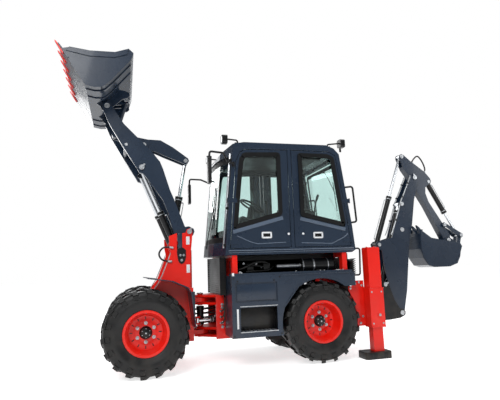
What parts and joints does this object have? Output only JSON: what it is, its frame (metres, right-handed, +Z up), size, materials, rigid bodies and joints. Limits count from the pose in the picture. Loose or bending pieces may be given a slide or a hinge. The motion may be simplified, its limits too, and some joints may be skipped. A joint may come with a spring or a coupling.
{
  "type": "articulated backhoe loader",
  "caption": "Articulated wheeled loader with a toothed front bucket on lift arms, a glazed cab and a side-shifting folded backhoe on telescopic stabilisers.",
  "frame": {"origin": "centre of the whole machine's outline at ground level, stored pose", "axes": "+X forward towards the loader bucket, +Y to the machine's left, +Z up"},
  "size_m": [6.42, 2.042, 4.1957],
  "materials": {
    "slate_paint": "satin",
    "red_paint": "gloss",
    "black_paint": "satin",
    "chromed_rod": "polished",
    "tyre_rubber": "matte",
    "cab_glazing": "clear",
    "black_plastic": "matte"
  },
  "bodies": {
    "rear_frame": {"rear_frame": "red_paint", "rear_axle": "red_paint", "side_panels": "slate_paint", "engine_block": "black_paint", "radiator_grille": "black_paint", "air_filter": "black_paint", "cab_shell": "slate_paint", "cab_roof": "slate_paint", "cab_glass": "cab_glazing", "seat": "black_plastic", "cab_controls": "black_plastic", "cab_fittings": "black_paint", "slide_frame": "red_paint"},
    "front_frame": {"front_frame": "red_paint", "front_axle": "red_paint", "front_fenders": "black_paint", "tower_hose": "black_plastic"},
    "loader_arm": {"loader_arm": "slate_paint"},
    "loader_bucket": {"loader_bucket": "slate_paint", "loader_teeth": "red_paint"},
    "rocker": {"rocker": "slate_paint"},
    "bucket_link": {"bucket_link": "slate_paint"},
    "tilt_barrel": {"tilt_barrel": "slate_paint"},
    "tilt_rod": {"tilt_rod": "chromed_rod"},
    "lift_barrels": {"lift_barrels": "slate_paint"},
    "lift_rods": {"lift_rods": "chromed_rod"},
    "steer_barrel": {"steer_barrel": "slate_paint"},
    "steer_rod": {"steer_rod": "chromed_rod"},
    "hoe_carriage": {"hoe_carriage": "slate_paint"},
    "swing_post": {"swing_post": "black_paint"},
    "boom": {"boom": "slate_paint"},
    "dipper": {"dipper": "slate_paint", "dipper_hose": "black_plastic"},
    "hoe_bucket": {"hoe_bucket": "slate_paint"},
    "hoe_rocker": {"hoe_rocker": "slate_paint"},
    "hoe_link": {"hoe_link": "slate_paint"},
    "boom_barrel": {"boom_barrel": "slate_paint"},
    "boom_rod": {"boom_rod": "chromed_rod"},
    "dipper_barrel": {"dipper_barrel": "slate_paint"},
    "dipper_rod": {"dipper_rod": "chromed_rod"},
    "hoe_barrel": {"hoe_barrel": "slate_paint"},
    "hoe_rod": {"hoe_rod": "chromed_rod"},
    "stabiliser_left": {"stabiliser_left": "red_paint"},
    "wheel_front_left": {"tyre_front_left": "tyre_rubber", "rim_front_left": "red_paint"},
    "front_door_left": {"front_door_left": "slate_paint", "front_door_glass_left": "cab_glazing"},
    "wheel_rear_left": {"tyre_rear_left": "tyre_rubber", "rim_rear_left": "red_paint"},
    "rear_door_left": {"rear_door_left": "slate_paint", "rear_door_glass_left": "cab_glazing"},
    "stabiliser_right": {"stabiliser_right": "red_paint"},
    "wheel_front_right": {"tyre_front_right": "tyre_rubber", "rim_front_right": "red_paint"},
    "front_door_right": {"front_door_right": "slate_paint", "front_door_glass_right": "cab_glazing"},
    "wheel_rear_right": {"tyre_rear_right": "tyre_rubber", "rim_rear_right": "red_paint"},
    "rear_door_right": {"rear_door_right": "slate_paint", "rear_door_glass_right": "cab_glazing"}
  },
  "joints": [
    {"name": "articulation", "type": "hinge", "parent": "rear_frame", "child": "front_frame", "pos_m": [1.3, 0, 0.7], "axis": [0, 0, 1], "range_deg": [-32, 32]},
    {"name": "steer_cylinder_swing", "type": "hinge", "parent": "rear_frame", "child": "steer_barrel", "pos_m": [0.67, 0.15, 0.6], "axis": [0, 0, 1], "range_deg": [-5.06, 5.06]},
    {"name": "steer_rod_slide", "type": "slide", "parent": "steer_barrel", "child": "steer_rod", "axis": [0.9928, 0.1197, 0], "range_m": [-0.12601, 0.12601]},
    {"name": "wheel_front_left_spin", "type": "hinge", "parent": "front_frame", "child": "wheel_front_left", "pos_m": [2.09, 0.644, 0.5375], "axis": [0, 1, 0], "continuous": true},
    {"name": "wheel_front_right_spin", "type": "hinge", "parent": "front_frame", "child": "wheel_front_right", "pos_m": [2.09, -0.644, 0.5375], "axis": [0, 1, 0], "continuous": true},
    {"name": "wheel_rear_left_spin", "type": "hinge", "parent": "rear_frame", "child": "wheel_rear_left", "pos_m": [-0.246, 0.644, 0.5375], "axis": [0, 1, 0], "continuous": true},
    {"name": "wheel_rear_right_spin", "type": "hinge", "parent": "rear_frame", "child": "wheel_rear_right", "pos_m": [-0.246, -0.644, 0.5375], "axis": [0, 1, 0], "continuous": true},
    {"name": "loader_lift", "type": "hinge", "parent": "front_frame", "child": "loader_arm", "pos_m": [1.493, 0, 1.812], "axis": [0, -1, 0], "range_deg": [-100, 0]},
    {"name": "lift_cylinder_swing", "type": "hinge", "parent": "front_frame", "child": "lift_barrels", "pos_m": [1.604, 0, 1.461], "axis": [0, -1, 0], "range_deg": [-94.9, 0.5]},
    {"name": "lift_rod_slide", "type": "slide", "parent": "lift_barrels", "child": "lift_rods", "axis": [0.3885, 0, 0.9215], "range_m": [-0.56519, 0.003]},
    {"name": "tilt_cylinder_swing", "type": "hinge", "parent": "front_frame", "child": "tilt_barrel", "pos_m": [1.705, 0, 1.655], "axis": [0, -1, 0], "range_deg": [-97.96, 0.5]},
    {"name": "tilt_rod_slide", "type": "slide", "parent": "tilt_barrel", "child": "tilt_rod", "axis": [-0.1747, 0, 0.9846], "range_m": [-0.40789, 0.003]},
    {"name": "loader_tilt", "type": "hinge", "parent": "loader_arm", "child": "loader_bucket", "pos_m": [2.59, 0, 3.555], "axis": [0, 1, 0], "range_deg": [-40, 95]},
    {"name": "rocker_swing", "type": "hinge", "parent": "loader_arm", "child": "rocker", "pos_m": [2.09, 0, 3.09], "axis": [0, -1, 0], "range_deg": [-10.95, 25.32]},
    {"name": "bucket_link_swing", "type": "hinge", "parent": "rocker", "child": "bucket_link", "pos_m": [2.49, 0, 3.25], "axis": [0, -1, 0], "range_deg": [-80.89, 34.35]},
    {"name": "hoe_side_shift", "type": "slide", "parent": "rear_frame", "child": "hoe_carriage", "axis": [0, 1, 0], "range_m": [-0.38, 0.38]},
    {"name": "hoe_swing", "type": "hinge", "parent": "hoe_carriage", "child": "swing_post", "pos_m": [-1.47, 0, 0.66], "axis": [0, 0, 1], "range_deg": [-85, 85]},
    {"name": "boom_lift", "type": "hinge", "parent": "swing_post", "child": "boom", "pos_m": [-1.905, 0, 0.507], "axis": [0, -1, 0], "range_deg": [0, 95]},
    {"name": "boom_cylinder_swing", "type": "hinge", "parent": "swing_post", "child": "boom_barrel", "pos_m": [-1.64, 0, 0.96], "axis": [0, -1, 0], "range_deg": [-0.5, 96.55]},
    {"name": "boom_rod_slide", "type": "slide", "parent": "boom_barrel", "child": "boom_rod", "axis": [-0.3109, 0, 0.9504], "range_m": [-0.003, 0.77959]},
    {"name": "dipper_crowd", "type": "hinge", "parent": "boom", "child": "dipper", "pos_m": [-2.357, 0, 2.701], "axis": [0, 1, 0], "range_deg": [0, 110]},
    {"name": "dipper_cylinder_swing", "type": "hinge", "parent": "boom", "child": "dipper_barrel", "pos_m": [-1.595, 0, 1.588], "axis": [0, -1, 0], "range_deg": [-0.5, 3.31]},
    {"name": "dipper_rod_slide", "type": "slide", "parent": "dipper_barrel", "child": "dipper_rod", "axis": [-0.3579, 0, 0.9338], "range_m": [-0.66874, 0.003]},
    {"name": "hoe_curl", "type": "hinge", "parent": "dipper", "child": "hoe_bucket", "pos_m": [-2.91, 0, 1.64], "axis": [0, 1, 0], "range_deg": [0, 105]},
    {"name": "hoe_rocker_swing", "type": "hinge", "parent": "dipper", "child": "hoe_rocker", "pos_m": [-2.865, 0, 1.9], "axis": [0, -1, 0], "range_deg": [-56.24, 0.5]},
    {"name": "hoe_link_swing", "type": "hinge", "parent": "hoe_rocker", "child": "hoe_link", "pos_m": [-3.166, 0, 1.721], "axis": [0, -1, 0], "range_deg": [-0.5, 85.21]},
    {"name": "hoe_cylinder_swing", "type": "hinge", "parent": "dipper", "child": "hoe_barrel", "pos_m": [-2.645, 0, 2.64], "axis": [0, -1, 0], "range_deg": [-14.03, 0.5]},
    {"name": "hoe_rod_slide", "type": "slide", "parent": "hoe_barrel", "child": "hoe_rod", "axis": [-0.4932, 0, -0.8699], "range_m": [-0.24666, 0.003]},
    {"name": "stabiliser_left_lift", "type": "slide", "parent": "rear_frame", "child": "stabiliser_left", "axis": [0, 0, 1], "range_m": [0, 0.3]},
    {"name": "front_door_left_hinge", "type": "hinge", "parent": "rear_frame", "child": "front_door_left", "pos_m": [1.002, 0.732, 2.2], "axis": [0, 0, -1], "range_deg": [0, 75]},
    {"name": "rear_door_left_hinge", "type": "hinge", "parent": "rear_frame", "child": "rear_door_left", "pos_m": [-0.782, 0.732, 2.2], "axis": [0, 0, 1], "range_deg": [0, 75]},
    {"name": "stabiliser_right_lift", "type": "slide", "parent": "rear_frame", "child": "stabiliser_right", "axis": [0, 0, 1], "range_m": [0, 0.3]},
    {"name": "front_door_right_hinge", "type": "hinge", "parent": "rear_frame", "child": "front_door_right", "pos_m": [1.002, -0.732, 2.2], "axis": [0, 0, 1], "range_deg": [0, 75]},
    {"name": "rear_door_right_hinge", "type": "hinge", "parent": "rear_frame", "child": "rear_door_right", "pos_m": [-0.782, -0.732, 2.2], "axis": [0, 0, -1], "range_deg": [0, 75]}
  ],
  "couplings": [
    {"joint": "steer_cylinder_swing", "follows": "articulation", "ratio": 0.14241},
    {"joint": "steer_rod_slide", "follows": "articulation", "m_per_rad": -0.22025},
    {"joint": "lift_cylinder_swing", "follows": "loader_lift", "ratio": 0.94403},
    {"joint": "lift_rod_slide", "follows": "loader_lift", "m_per_rad": 0.32211},
    {"joint": "tilt_cylinder_swing", "follows": "loader_lift", "ratio": 0.97459},
    {"joint": "tilt_rod_slide", "follows": "loader_lift", "m_per_rad": 0.23198},
    {"joint": "rocker_swing", "follows": "loader_tilt", "ratio": 0.26131},
    {"joint": "bucket_link_swing", "follows": "loader_tilt", "ratio": -0.84624},
    {"joint": "boom_cylinder_swing", "follows": "boom_lift", "ratio": 1.011},
    {"joint": "boom_rod_slide", "follows": "boom_lift", "m_per_rad": 0.46837},
    {"joint": "dipper_cylinder_swing", "follows": "dipper_crowd", "ratio": 0.02554},
    {"joint": "dipper_rod_slide", "follows": "dipper_crowd", "m_per_rad": -0.34677},
    {"joint": "hoe_rocker_swing", "follows": "hoe_curl", "ratio": -0.53085},
    {"joint": "hoe_link_swing", "follows": "hoe_curl", "ratio": 0.80675},
    {"joint": "hoe_cylinder_swing", "follows": "hoe_curl", "ratio": -0.12885},
    {"joint": "hoe_rod_slide", "follows": "hoe_curl", "m_per_rad": -0.13296}
  ]
}
